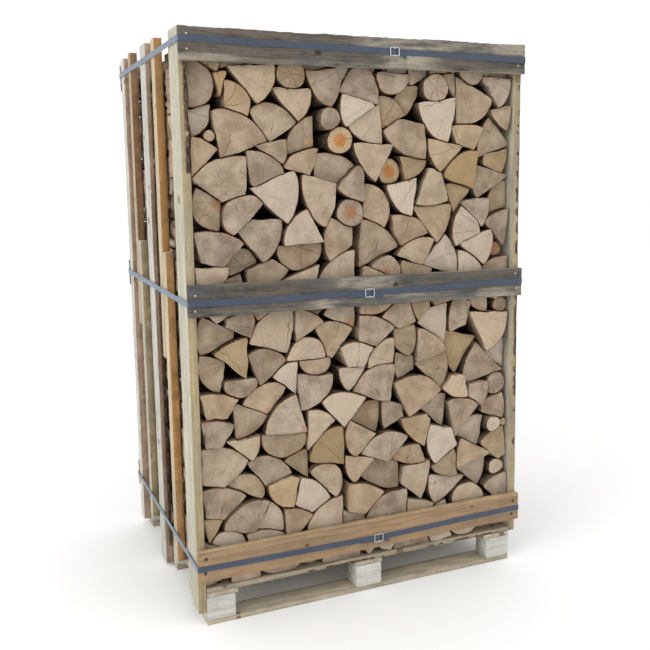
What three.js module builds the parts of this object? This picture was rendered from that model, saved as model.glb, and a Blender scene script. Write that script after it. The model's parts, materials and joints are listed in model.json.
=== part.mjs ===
// A crate of split firewood: a block pallet, battens nailed up its two sides, three boards across the
// front and the back, three rows of logs stacked between them, and three straps round the whole load.
// Millimetres, +Z up. X runs across the front, Y from the front to the back.
import * as THREE from 'three';

// Driving dimensions.
const palletWidth = 1200;
const palletDepth = 1000;
const crateHeight = 1950;
const gap = 0.3;                 // between pieces that touch
const edge = 1.5;                // the rough edge taken off sawn wood

const runner = { thick: 16, wide: 90 };
const block = { wide: 100, deep: 75, high: 80 };
const stringer = { thick: 16, wide: 110 };
const deckBoard = { thick: 17, wide: 98, count: 7 };
const batten = { thick: 28 };
const crossBoard = { thick: 22, overhang: 2 };
const logs = { rows: 3, top: 1905, humps: 11, humpRise: 34, sideRoom: 3, endRoom: 6, rowRoom: 8 };
const strap = { wide: 19, thick: 1.2, clear: 1.5, bend: 5 };
const buckle = { wide: 36, high: 31, wire: 3.4, round: 7 };
const bendSteps = 4;             // flats in each quarter turn of the straps and buckles

// Heights of the pallet's layers, from the ground up.
const runnerTop = runner.thick;
const blockTop = runnerTop + gap + block.high;
const stringerTop = blockTop + gap + stringer.thick;
const deckTop = stringerTop + gap + deckBoard.thick;

// Battens of one side, front to back: where each starts and ends along Y and Z. A long plank stands at
// each row of blocks. Between them an upper and a lower batten lie edge to edge and pass each other.
const leftBattens = [
  { name: 'corner_post_front', y: [0, 128], z: [46, crateHeight + 5], finish: 'paleBatten', brokenFoot: 34 },
  { name: 'upper_batten_front', y: [344, 400], z: [850, crateHeight + 16], finish: 'orangeBatten' },
  { name: 'lower_batten_front', y: [292, 342], z: [108, 1236], finish: 'orangeBatten' },
  { name: 'middle_plank', y: [500, 596], z: [14, crateHeight + 19], finish: 'greyBatten' },
  { name: 'upper_batten_back', y: [790, 840], z: [905, crateHeight + 22], finish: 'brownBatten' },
  { name: 'lower_batten_back', y: [740, 788], z: [112, 1247], finish: 'paleBatten' },
  { name: 'corner_post_back', y: [934, palletDepth], z: [30, crateHeight + 18], finish: 'greyBatten' },
];
const rightBattens = [
  { name: 'corner_post_front', y: [0, 96], z: [112, crateHeight - 2], finish: 'paleBatten' },
  { name: 'upper_batten_front', y: [326, 382], z: [868, crateHeight + 4], finish: 'paleBatten' },
  { name: 'lower_batten_front', y: [272, 324], z: [110, 1222], finish: 'orangeBatten' },
  { name: 'middle_plank', y: [478, 574], z: [20, crateHeight + 2], finish: 'greyBatten' },
  { name: 'upper_batten_back', y: [764, 818], z: [880, crateHeight + 6], finish: 'orangeBatten' },
  { name: 'lower_batten_back', y: [712, 762], z: [106, 1238], finish: 'brownBatten' },
  { name: 'corner_post_back', y: [918, palletDepth], z: [44, crateHeight], finish: 'paleBatten' },
];

// Cross boards: the height of each one's middle, its width and how far it leans out of level.
const crossBoards = [
  { place: 'top', middle: 1898, wide: 103, lean: 0, finish: 'weatheredBoard' },
  { place: 'middle', middle: 1098, wide: 103, lean: -0.5, finish: 'weatheredBoard' },
  { place: 'bottom', middle: 218, wide: 106, lean: 0, finish: 'freshBoard' },
];
const backLean = [0.3, 0.2, -0.2];

// Straps: height of the middle of the webbing, and how far along the front its buckle sits.
const straps = [
  { place: 'top', height: 1903, buckleX: 100 },
  { place: 'middle', height: 1100, buckleX: 0 },
  { place: 'bottom', height: 212, buckleX: 27 },
];

const finishes = {
  paleBatten: { color: 0xd9cda4, roughness: 0.85, metalness: 0 },
  orangeBatten: { color: 0xb98a4e, roughness: 0.85, metalness: 0 },
  brownBatten: { color: 0x9a7a58, roughness: 0.88, metalness: 0 },
  greyBatten: { color: 0xb3a797, roughness: 0.9, metalness: 0 },
  weatheredBoard: { color: 0x77705f, roughness: 0.92, metalness: 0 },
  freshBoard: { color: 0xc1936a, roughness: 0.85, metalness: 0 },
  palletBoard: { color: 0xb0a48e, roughness: 0.9, metalness: 0 },
  palletBlock: { color: 0xd4d2c8, roughness: 0.88, metalness: 0 },
  firewood: { color: 0xbfa283, roughness: 0.9, metalness: 0 },
  webbing: { color: 0x5b6f8c, roughness: 0.7, metalness: 0 },
  galvanizedWire: { color: 0xb9bec4, roughness: 0.35, metalness: 1 },
};

const crate = new THREE.Group();

function addPiece(name, finish, geometry) {
  const mesh = new THREE.Mesh(geometry, new THREE.MeshStandardMaterial(finishes[finish]));
  mesh.name = name;
  crate.add(mesh);
  return mesh;
}

// A flat outline given a thickness, with its edges taken off. It starts at thickness 0.
function sawn(shape, thick, ease = edge) {
  const geometry = new THREE.ExtrudeGeometry(shape, {
    depth: thick - 2 * ease,
    bevelEnabled: ease > 0,
    bevelThickness: ease,
    bevelSize: ease,
    bevelOffset: -ease,
    bevelSegments: 1,
    curveSegments: 6,
  });
  return geometry.translate(0, 0, ease);
}

function rectangle(width, height) {
  return new THREE.Shape([
    new THREE.Vector2(0, 0),
    new THREE.Vector2(width, 0),
    new THREE.Vector2(width, height),
    new THREE.Vector2(0, height),
  ]);
}

// A straight piece of sawn wood that fills a box between two corners.
function beam(name, finish, low, high) {
  const size = high.map((value, axis) => value - low[axis]);
  const geometry = sawn(rectangle(size[0], size[1]), size[2]);
  addPiece(name, finish, geometry).position.set(...low);
}

function makePallet() {
  const half = palletWidth / 2;
  const rowsY = [0, (palletDepth - block.deep) / 2, palletDepth - block.deep];
  const rowNames = ['front', 'middle', 'back'];
  const columnsX = [-half, -block.wide / 2, half - block.wide];
  const columnNames = ['left', 'middle', 'right'];
  const spare = (runner.wide - block.deep) / 2;
  const runnersY = [0, rowsY[1] - spare, palletDepth - runner.wide];

  rowNames.forEach((row, j) => {
    beam(`bottom_runner_${row}`, 'palletBoard',
      [-half, runnersY[j], 0], [half, runnersY[j] + runner.wide, runnerTop]);
    columnNames.forEach((column, i) => {
      beam(`block_${row}_${column}`, 'palletBlock',
        [columnsX[i], rowsY[j], runnerTop + gap],
        [columnsX[i] + block.wide, rowsY[j] + block.deep, blockTop]);
    });
  });

  const stringersX = [-half, -stringer.wide / 2, half - stringer.wide];
  columnNames.forEach((column, i) => {
    beam(`stringer_${column}`, 'palletBoard',
      [stringersX[i], 0, blockTop + gap],
      [stringersX[i] + stringer.wide, palletDepth, stringerTop]);
  });

  const pitch = (palletDepth - deckBoard.wide) / (deckBoard.count - 1);
  for (let i = 0; i < deckBoard.count; i += 1) {
    beam(`deck_board_${i + 1}`, 'palletBoard',
      [-half, i * pitch, stringerTop + gap],
      [half, i * pitch + deckBoard.wide, deckTop]);
  }
}

// One side's battens stand outside the pallet and are drawn as an outline in Y and Z. A broken foot is a
// corner split off the lower back of the post.
function makeBattens(sideName, side, battens) {
  const inner = palletWidth / 2 + gap;
  for (const { name, y, z, finish, brokenFoot = 0 } of battens) {
    const points = [
      new THREE.Vector2(y[0], z[0]),
      new THREE.Vector2(y[1] - 2 * brokenFoot, z[0]),
      new THREE.Vector2(y[1], z[0] + brokenFoot),
      new THREE.Vector2(y[1], z[1]),
      new THREE.Vector2(y[0], z[1]),
    ];
    if (brokenFoot === 0) points.splice(2, 1);
    const geometry = sawn(new THREE.Shape(points), batten.thick);
    // The outline's two axes become Y and Z, and its thickness runs along X.
    geometry.rotateX(Math.PI / 2).rotateZ(Math.PI / 2);
    const mesh = addPiece(`${sideName}_${name}`, finish, geometry);
    mesh.position.x = side > 0 ? inner : -inner - batten.thick;
  }
}

function makeCrossBoards() {
  const half = palletWidth / 2 + gap + batten.thick + crossBoard.overhang;
  for (const face of ['front', 'back']) {
    crossBoards.forEach(({ place, middle, wide, lean, finish }, i) => {
      const geometry = sawn(rectangle(2 * half, wide), crossBoard.thick);
      geometry.translate(-half, -wide / 2, 0).rotateX(Math.PI / 2);
      const mesh = addPiece(`${face}_board_${place}`, finish, geometry);
      mesh.position.y = face === 'front' ? -gap : palletDepth + gap + crossBoard.thick;
      mesh.position.z = middle;
      mesh.rotation.y = THREE.MathUtils.degToRad(face === 'front' ? lean : backLean[i]);
    });
  }
}

// Each row of logs is one solid. Its top is a line of low humps, as the last layer of logs leaves it.
function makeLogRows() {
  const half = palletWidth / 2 - logs.sideRoom;
  const rowPitch = (palletDepth - 2 * logs.endRoom + logs.rowRoom) / logs.rows;
  const humpWide = (2 * half) / logs.humps;
  ['front', 'middle', 'back'].forEach((row, j) => {
    const shape = new THREE.Shape();
    shape.moveTo(-half, deckTop + gap);
    shape.lineTo(half, deckTop + gap);
    shape.lineTo(half, logs.top - logs.humpRise);
    for (let i = 0; i < logs.humps; i += 1) {
      const right = half - i * humpWide;
      const rise = logs.humpRise * (1 + 0.35 * Math.sin(2.4 * i + 1.7 * j));
      shape.quadraticCurveTo(
        right - humpWide / 2, logs.top - logs.humpRise + 2 * rise * 0.8,
        right - humpWide, logs.top - logs.humpRise);
    }
    shape.closePath();
    const geometry = sawn(shape, rowPitch - logs.rowRoom, 0);
    geometry.rotateX(Math.PI / 2);
    addPiece(`log_row_${row}`, 'firewood', geometry).position.y =
      logs.endRoom + (j + 1) * rowPitch - logs.rowRoom;
  });
}

// The points of a rectangle with round corners, centred on the origin.
function roundedRectangle(halfX, halfY, radius) {
  const points = [];
  const corners = [[1, -1], [1, 1], [-1, 1], [-1, -1]];
  corners.forEach(([sideX, sideY], corner) => {
    for (let step = 0; step <= bendSteps; step += 1) {
      const angle = (corner - 1 + step / bendSteps) * (Math.PI / 2);
      points.push(new THREE.Vector2(
        sideX * (halfX - radius) + radius * Math.cos(angle),
        sideY * (halfY - radius) + radius * Math.sin(angle)));
    }
  });
  return points;
}

// A strap is a closed band of webbing seen from above, and its buckle a wire frame with a middle bar.
function makeStraps() {
  const halfX = palletWidth / 2 + gap + batten.thick + crossBoard.overhang + strap.clear;
  const halfY = palletDepth / 2 + gap + crossBoard.thick + strap.clear;
  for (const { place, height, buckleX } of straps) {
    const band = new THREE.Shape(roundedRectangle(
      halfX + strap.thick, halfY + strap.thick, strap.bend + strap.thick));
    band.holes.push(new THREE.Path(roundedRectangle(halfX, halfY, strap.bend)));
    addPiece(`strap_${place}`, 'webbing', sawn(band, strap.wide, 0))
      .position.set(0, palletDepth / 2, height - strap.wide / 2);

    const frame = new THREE.Shape(roundedRectangle(buckle.wide / 2, buckle.high / 2, buckle.round));
    const windowWide = (buckle.wide - 3 * buckle.wire) / 2;
    for (const side of [-1, 1]) {
      const corners = roundedRectangle(windowWide / 2, buckle.high / 2 - buckle.wire, buckle.round / 3);
      const shift = new THREE.Vector2(side * (windowWide + buckle.wire) / 2, 0);
      frame.holes.push(new THREE.Path(corners.map((point) => point.add(shift))));
    }
    const geometry = sawn(frame, buckle.wire, 0).rotateX(Math.PI / 2);
    addPiece(`buckle_${place}`, 'galvanizedWire', geometry)
      .position.set(buckleX, palletDepth / 2 - halfY - strap.thick - gap, height);
  }
}

makePallet();
makeBattens('left', -1, leftBattens);
makeBattens('right', 1, rightBattens);
makeCrossBoards();
makeLogRows();
makeStraps();

// The origin is under the middle of the whole crate, on the ground.
const bounds = new THREE.Box3().setFromObject(crate);
const centre = bounds.getCenter(new THREE.Vector3());
crate.position.set(-centre.x, -centre.y, -bounds.min.z);

export default crate;
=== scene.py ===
import json
import math
import time
import bpy
import bmesh
import numpy as np
from mathutils import Matrix, Vector, noise

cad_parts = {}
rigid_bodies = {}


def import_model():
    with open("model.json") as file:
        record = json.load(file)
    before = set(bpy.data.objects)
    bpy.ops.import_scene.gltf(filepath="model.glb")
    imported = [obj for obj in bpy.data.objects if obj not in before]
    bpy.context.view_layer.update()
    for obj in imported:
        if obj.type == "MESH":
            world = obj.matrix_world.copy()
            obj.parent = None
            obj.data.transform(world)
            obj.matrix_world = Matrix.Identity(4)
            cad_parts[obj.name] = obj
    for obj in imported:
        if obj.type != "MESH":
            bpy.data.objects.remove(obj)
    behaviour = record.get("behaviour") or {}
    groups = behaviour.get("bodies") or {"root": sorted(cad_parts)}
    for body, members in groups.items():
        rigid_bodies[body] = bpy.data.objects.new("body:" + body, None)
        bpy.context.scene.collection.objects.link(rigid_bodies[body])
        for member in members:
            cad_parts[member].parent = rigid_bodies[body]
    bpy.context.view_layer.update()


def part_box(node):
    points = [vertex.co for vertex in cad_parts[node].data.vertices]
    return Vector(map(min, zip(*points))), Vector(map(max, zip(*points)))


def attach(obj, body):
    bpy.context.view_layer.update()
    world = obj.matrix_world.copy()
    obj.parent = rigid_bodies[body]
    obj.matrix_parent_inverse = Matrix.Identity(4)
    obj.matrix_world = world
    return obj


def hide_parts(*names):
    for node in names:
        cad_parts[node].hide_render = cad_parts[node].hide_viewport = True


# A strapped pallet crate of split firewood: sawn wood, stacked logs, webbing and wire buckles.

for old in [o for o in bpy.data.objects if o.name in ("Cube", "Light", "Camera")]:
    bpy.data.objects.remove(old)
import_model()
startedAt = time.time()
mm = 0.001


def report(stage):
    print(f"{time.time() - startedAt:6.1f} s  {stage}")


cameraView = {"place": (-1.2645, -3.1894, 1.5021), "yaw": 23.9, "pitch": -8.0, "roll": -0.7,
              "lens": 48.0, "shift": (-0.0346, -0.0470)}
studio = {"sky": (1.0, 1.0, 1.0), "skyStrength": 1.05, "floor": (0.95, 0.95, 0.95), "floorSize": 60.0,
          "lampColour": (1.0, 0.99, 0.97), "lampsAimAt": (0, 0, 0.9)}
lamps = {
    "sideLamp": {"place": (-5.5, -2.5, 4.2), "size": 4.0, "power": 120.0},
    "topLamp": {"place": (0.5, -3.0, 6.0), "size": 5.0, "power": 40.0},
}


def addObject(name, data):
    made = bpy.data.objects.new(name, data)
    bpy.context.collection.objects.link(made)
    return made


def makeCamera():
    data = bpy.data.cameras.new("camera")
    data.lens, data.sensor_width = cameraView["lens"], 36
    data.shift_x, data.shift_y = cameraView["shift"]
    data.clip_end = 200
    camera = addObject("camera", data)
    yaw, pitch, roll = (math.radians(cameraView[key]) for key in ("yaw", "pitch", "roll"))
    turn = (Matrix.Rotation(-yaw, 4, "Z") @ Matrix.Rotation(math.pi / 2 + pitch, 4, "X")
            @ Matrix.Rotation(roll, 4, "Z"))
    camera.matrix_world = Matrix.Translation(cameraView["place"]) @ turn
    bpy.context.scene.camera = camera


def makeLamp(name, plan):
    data = bpy.data.lights.new(name, "AREA")
    data.size, data.energy, data.color = plan["size"], plan["power"], studio["lampColour"]
    lamp = addObject(name, data)
    lamp.location = plan["place"]
    lamp.rotation_euler = (Vector(studio["lampsAimAt"]) - lamp.location).to_track_quat("-Z", "Y").to_euler()


def makeStudio():
    world = bpy.data.worlds.new("sky")
    bpy.context.scene.world = world
    world.use_nodes = True
    back = world.node_tree.nodes["Background"]
    back.inputs[0].default_value = (*studio["sky"], 1)
    back.inputs[1].default_value = studio["skyStrength"]
    for name, plan in lamps.items():
        makeLamp(name, plan)
    bm = bmesh.new()
    bmesh.ops.create_grid(bm, x_segments=1, y_segments=1, size=studio["floorSize"] / 2)
    mesh = bpy.data.meshes.new("floor")
    bm.to_mesh(mesh)
    floor = addObject("floor", mesh)
    material = bpy.data.materials.new("paleFloor")
    material.use_nodes = True
    shader = material.node_tree.nodes["Principled BSDF"]
    shader.inputs["Base Color"].default_value = (*studio["floor"], 1)
    shader.inputs["Roughness"].default_value = 0.9
    shader.inputs["Specular IOR Level"].default_value = 0.2
    mesh.materials.append(material)
    bpy.context.scene.view_settings.view_transform = "Standard"


makeCamera()
makeStudio()
report("camera, floor and light")


class Surface:
    # a material with its node tree and short ways to add to it

    def __init__(self, name, roughness, specular=0.3):
        self.material = bpy.data.materials.new(name)
        self.material.use_nodes = True
        self.tree = self.material.node_tree
        self.shader = self.tree.nodes["Principled BSDF"]
        self.shader.inputs["Roughness"].default_value = roughness
        self.shader.inputs["Specular IOR Level"].default_value = specular

    def add(self, kind, inputs=None, **settings):
        node = self.tree.nodes.new(kind)
        for key, value in settings.items():
            setattr(node, key, value)
        for key, value in (inputs or {}).items():
            self.plug(node.inputs[key], value)
        return node

    def plug(self, socket, value):
        if isinstance(value, bpy.types.NodeSocket):
            self.tree.links.new(value, socket)
        elif socket.type == "RGBA":
            socket.default_value = (*value, 1) if len(value) == 3 else value
        else:
            socket.default_value = value

    def calc(self, operation, *values):
        return self.add("ShaderNodeMath", dict(enumerate(values)), operation=operation).outputs[0]

    def times(self, first, second):
        return self.calc("MULTIPLY", first, second)

    def plus(self, first, second):
        return self.calc("ADD", first, second)

    def minus(self, first, second):
        return self.calc("SUBTRACT", first, second)

    def stirred(self, value, texture, strength):
        # adds a texture that averages out
        return self.plus(value, self.times(self.minus(texture, 0.5), strength))

    def attribute(self, name, output="Fac"):
        return self.add("ShaderNodeAttribute", attribute_name=name).outputs[output]

    def objectPlace(self):
        return self.add("ShaderNodeTexCoord").outputs["Object"]

    def parts(self, vector):
        return self.add("ShaderNodeSeparateXYZ", {0: vector}).outputs

    def channels(self, colour):
        return self.add("ShaderNodeSeparateColor", {0: colour}).outputs

    def vector(self, x, y, z=0.0):
        return self.add("ShaderNodeCombineXYZ", {0: x, 1: y, 2: z}).outputs[0]

    def lengthOf(self, vector):
        return self.add("ShaderNodeVectorMath", {0: vector}, operation="LENGTH").outputs["Value"]

    def scaled(self, vector, factors):
        return self.add("ShaderNodeVectorMath", {0: vector, 1: factors}, operation="MULTIPLY").outputs[0]

    def shifted(self, vector, other):
        return self.add("ShaderNodeVectorMath", {0: vector, 1: other}, operation="ADD").outputs[0]

    def grain(self, vector, scale, detail=3.0, rough=0.55, fourth=None):
        inputs = {"Vector": vector, "Scale": scale, "Detail": detail, "Roughness": rough}
        if fourth is None:
            return self.add("ShaderNodeTexNoise", inputs).outputs[0]
        return self.add("ShaderNodeTexNoise", {**inputs, "W": fourth}, noise_dimensions="4D").outputs[0]

    def stretched(self, vector, factors, detail=3.0, rough=0.55, fourth=None):
        return self.grain(self.scaled(vector, factors), 1.0, detail, rough, fourth)

    def cells(self, vector, scale, **settings):
        return self.add("ShaderNodeTexVoronoi", {"Vector": vector, "Scale": scale}, **settings).outputs

    def ramp(self, value, low, high, to=(0.0, 1.0)):
        inputs = {0: value, 1: low, 2: high, 3: to[0], 4: to[1]}
        return self.add("ShaderNodeMapRange", inputs, interpolation_type="SMOOTHSTEP").outputs[0]

    def blend(self, factor, first, second, mode="MIX"):
        inputs = {0: factor, 6: first, 7: second}
        return self.add("ShaderNodeMix", inputs, data_type="RGBA", blend_type=mode).outputs[2]

    def shaded(self, colour, shade):
        grey = self.add("ShaderNodeCombineColor", {0: shade, 1: shade, 2: shade}).outputs[0]
        return self.blend(1.0, colour, grey, "MULTIPLY")

    def coat(self, colour, height, distance, strength):
        # colour and relief go into the shader
        relief = {"Height": height, "Distance": distance, "Strength": strength}
        self.plug(self.shader.inputs["Base Color"], colour)
        self.plug(self.shader.inputs["Normal"], self.add("ShaderNodeBump", relief).outputs[0])
        return self.material


def linear(*values):
    # a colour named by its 0 to 255 screen values
    return tuple(((v / 255 + 0.055) / 1.055) ** 2.4 if v > 10 else v / 255 / 12.92 for v in values)


def noiseAt(x, y, z):
    # smooth noise at many places at once
    return np.array([noise.noise(Vector(spot)) for spot in zip(*np.broadcast_arrays(x, y, z))])


def layer(bm, kind, name):
    layers = getattr(bm.verts.layers, kind)
    return layers.get(name) or layers.new(name)


def finishPiece(bm, name, nodes, materials, sharpAngle=38):
    bmesh.ops.recalc_face_normals(bm, faces=bm.faces)
    mesh = bpy.data.meshes.new(name)
    bm.to_mesh(mesh)
    bm.free()
    for material in materials:
        mesh.materials.append(material)
    mesh.shade_smooth()
    mesh.set_sharp_from_angle(angle=math.radians(sharpAngle))
    piece = addObject(name, mesh)
    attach(piece, "root")
    if nodes:
        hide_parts(*nodes)


firewood = {
    "seeds": {"front": 18, "middle": 3, "back": 1},
    "sizes": 1.11,                # every section this much larger than its kind says
    "step": 4.0,                  # width of one column of the skyline, mm
    "slot": 72.0,                 # narrowest slot that a log still fits, mm
    "outlineStep": 10.0,          # between points of an outline, mm
    "stickReach": 64.0,           # how far from a side wall thin sticks are wedged in, mm
    "stickRoom": 15.0,            # smallest hole that gets one, mm
    "gap": 3.4,                   # left between neighbours, mm
    "swell": 1.8,                 # most that an outline point moves out, mm
    "facing": 160,                # an outline point this near to another log is sheltered, mm
    "barkThick": 3.6,
    "cutsAlong": 6,
    "areas": (1900, 21500),       # square mm of a section
    "widest": 208,
}
stacking = {
    "poolSize": 12, "turns": 14, "tries": 16,       # logs to choose from, ways to turn each, last nudges
    "slotDeep": 60,               # a slot counts down to this depth, mm
    "waste": 2200,                # square mm left empty that cost one point
    "slots": 0.8,                 # share of that for room beside a log that no other can fill
    "height": 0.06, "area": 0.0001, "small": 4.5, "tooHigh": 1e3,      # points per mm, per square mm, per log
}
logEnds = {
    # metres, and shares of a log's length
    "frontSpread": 0.013, "frontOut": 0.003, "backSpread": 0.007, "frontLean": 0.045, "backLean": 0.030,
    "setBack": 0.15, "setBackBy": (0.012, 0.034), "taper": (-0.035, 0.02), "barkRough": 0.0016,
    "splitRough": 0.0011, "shelterDepth": 0.06,
}
sectionKinds = {
    # kind: (share, radius of the trunk, angle of the wedge)
    "wedge": (0.42, (88, 150), (0.75, 1.45)),
    "tri": (0.13, (120, 165), (0.60, 1.15)),
    "quad": (0.20, (120, 180), (0.50, 1.00)),
    "half": (0.11, (48, 74), None),
    "round": (0.04, (24, 50), None),
    "wide": (0.10, (72, 104), (1.50, 2.30)),
    "sliver": (0.0, (64, 96), (0.50, 0.80)),
}
landmarkLogs = [
    # rounds with an orange heart and other logs that stand out: across and up the crate's inside, mm
    {"kind": "round", "radius": 45, "across": 478, "up": 1490, "tone": "orange"},
    {"kind": "round", "radius": 42, "across": 738, "up": 1408, "tone": "orange"},
    {"kind": "round", "radius": 36, "across": 506, "up": 1580, "tone": "grey"},
]
smallKinds = ["sliver", "sliver", "sliver", "round"]


def clipLine(points, bark, normal, offset):
    # keeps the side of a straight split where point . normal <= offset
    kept, flags = [], []
    for i, a in enumerate(points):
        b = points[(i + 1) % len(points)]
        da, db = a @ normal - offset, b @ normal - offset
        if da <= 0:
            kept.append(a)
            flags.append(bark[i])
            if db > 0:
                kept.append(a + (b - a) * (da / (da - db)))
                flags.append(False)
        elif db <= 0:
            kept.append(a + (b - a) * (da / (da - db)))
            flags.append(bark[i])
    return kept, flags


def areaAndCentre(points):
    x, z = points.T
    x2, z2 = np.roll(x, -1), np.roll(z, -1)
    cross = x * z2 - x2 * z
    area = cross.sum() / 2
    return area, np.array([((x + x2) * cross).sum(), ((z + z2) * cross).sum()]) / (6 * area)


def evenOutline(points, bark, rng):
    # corners stay, and each side between them is cut into equal steps with a slight wave
    forward = np.roll(points, -1, axis=0) - points
    heading = np.arctan2(forward[:, 1], forward[:, 0])
    bend = np.abs((heading - np.roll(heading, 1) + np.pi) % (2 * np.pi) - np.pi)
    corners = [i for i in range(len(points)) if bend[i] > 0.45 or bark[i] != bark[i - 1]]
    if len(corners) < 2:
        corners = [0, len(points) // 2]
    made, flags = [], []
    for place, first in enumerate(corners):
        last = corners[(place + 1) % len(corners)]
        span = [points[(first + k) % len(points)] for k in range((last - first) % len(points) + 1)]
        span = np.array(span)
        run = np.concatenate([[0], np.cumsum(np.linalg.norm(np.diff(span, axis=0), axis=1))])
        if run[-1] < 3:
            continue
        count = max(2, int(round(run[-1] / firewood["outlineStep"])))
        at = np.linspace(0, run[-1], count, endpoint=False)
        line = np.stack([np.interp(at, run, span[:, 0]), np.interp(at, run, span[:, 1])], axis=1)
        if not bark[first]:
            chord = (span[-1] - span[0]) / max(run[-1], 1)
            side = np.array([chord[1], -chord[0]])
            t = at / run[-1]
            wave = (rng.normal(0, 1.6) * np.sin(np.pi * t) + rng.normal(0, 1.0) * np.sin(2 * np.pi * t)
                    + rng.normal(0, 0.8) * np.sin(3 * np.pi * t + 1)) * np.sin(np.pi * t) ** 0.5
            line = line + side * (wave + rng.normal(0, 0.35, count))[:, None]
        else:
            line = line + rng.normal(0, 0.4, line.shape)
        made.append(line)
        flags += [bool(bark[first])] * count
    return np.concatenate(made), np.array(flags)


def makeSection(rng, kind=None, radius=None):
    # a trunk's circle, split by straight cuts into one of the usual kinds
    names = list(sectionKinds)
    wanted = kind
    while True:
        kind = wanted or rng.choice(names, p=[sectionKinds[n][0] for n in names])
        radii, angles = sectionKinds[kind][1:]
        size = (radius or rng.uniform(*radii)) * (1 if radius else firewood["sizes"])
        turn = np.linspace(0, 2 * np.pi, 72, endpoint=False)
        phase = rng.uniform(0, 2 * np.pi, 3)
        out = size * (1 + 0.035 * np.sin(2 * turn + phase[0]) + 0.02 * np.sin(3 * turn + phase[1])
                      + 0.012 * np.sin(5 * turn + phase[2]))
        points = [np.array([r * math.cos(a), r * math.sin(a)]) for r, a in zip(out, turn)]
        bark = [True] * len(points)
        splits = []
        if angles:
            spread = rng.uniform(*angles)
            splits = [(-spread / 2 - np.pi / 2, rng.uniform(-9, 7)),
                      (spread / 2 + np.pi / 2, rng.uniform(-9, 7))]
        if kind == "tri":
            splits.append((rng.uniform(-0.35, 0.35), size * rng.uniform(0.62, 0.8)))
        if kind == "quad":
            splits.append((np.pi + rng.uniform(-0.3, 0.3), -size * rng.uniform(0.34, 0.52)))
        if kind == "wedge" and rng.random() < 0.18:
            splits.append((np.pi + rng.uniform(-0.6, 0.6), -size * rng.uniform(0.08, 0.2)))
        if kind == "half":
            splits.append((np.pi, rng.uniform(-6, 12)))
        for angle, offset in splits:
            points, bark = clipLine(points, bark, np.array([math.cos(angle), math.sin(angle)]), offset)
        if len(points) < 8:
            continue
        outline = np.array(points)
        area, centre = areaAndCentre(outline)
        if not wanted:
            least, most = firewood["areas"]
            if not least < area < most or np.ptp(outline, axis=0).max() > firewood["widest"]:
                continue
            if kind != "round" and rng.random() > 0.25 + area / 11000:
                continue
        outline, flags = evenOutline(outline, bark, rng)
        return {"kind": kind, "points": outline - centre, "bark": flags, "pith": -centre, "area": area,
                "tone": None}


def turned(points, angle):
    ca, sa = math.cos(angle), math.sin(angle)
    return points @ np.array([[ca, sa], [-sa, ca]])


def profile(points, step):
    # the lowest and highest point in each column that the outline covers
    ahead = np.roll(points, -1, axis=0)
    part = np.linspace(0, 1, 6, endpoint=False)[None, :, None]
    line = (points[:, None, :] * (1 - part) + ahead[:, None, :] * part).reshape(-1, 2)
    x0 = line[:, 0].min()
    count = int((line[:, 0].max() - x0) / step) + 1
    column = np.minimum(((line[:, 0] - x0) / step).astype(int), count - 1)
    low, high = np.full(count, 1e9), np.full(count, -1e9)
    np.minimum.at(low, column, line[:, 1])
    np.maximum.at(high, column, line[:, 1])
    return x0, low, high


def closedSky(sky, wide, top):
    # the skyline with every slot narrower than a log filled up
    padded = np.concatenate([np.full(wide, top), sky, np.full(wide, top)])
    view = np.lib.stride_tricks.sliding_window_view
    closed = view(view(padded, wide).max(axis=1), wide).min(axis=1)
    start = (len(closed) - len(sky)) // 2
    return np.maximum(closed[start:start + len(sky)], sky)


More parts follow.
